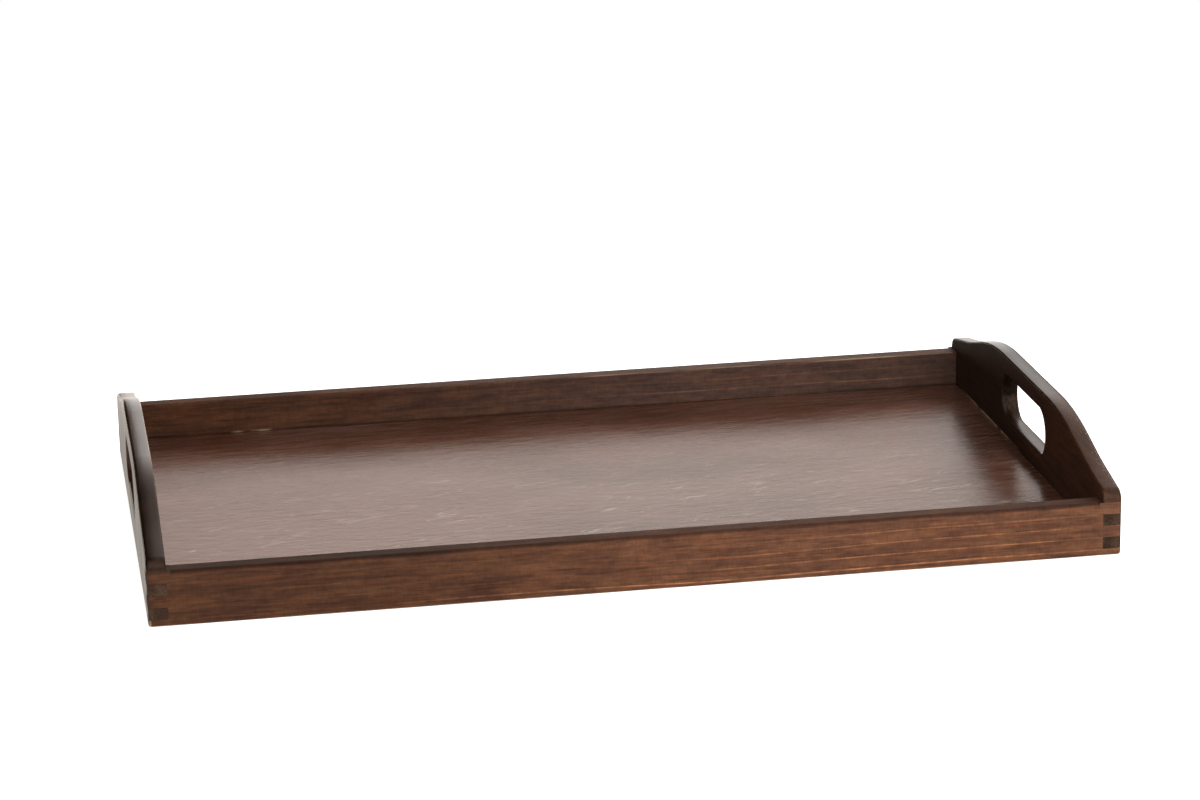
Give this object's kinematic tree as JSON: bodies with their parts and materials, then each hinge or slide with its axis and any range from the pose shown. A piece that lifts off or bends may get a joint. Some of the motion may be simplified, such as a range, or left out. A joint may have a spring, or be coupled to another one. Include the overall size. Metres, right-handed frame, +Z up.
{
  "type": "serving tray",
  "caption": "Rectangular wooden serving tray with low rails, arched end boards with hand holes, finger-jointed corners and a flat veneered base.",
  "frame": {"origin": "middle of the footprint, on the surface that the tray stands on", "axes": "+X along the tray's length, +Y across it from the front rail to the back rail, +Z up"},
  "size_m": [0.5, 0.3, 0.055],
  "materials": {
    "stained_board": "dark walnut stain under a satin lacquer",
    "stained_veneer": "walnut stain under a semi-gloss lacquer"
  },
  "bodies": {
    "root": {"front_rail": "stained_board", "back_rail": "stained_board", "left_end": "stained_board", "right_end": "stained_board", "base_panel": "stained_veneer"}
  },
  "joints": []
}
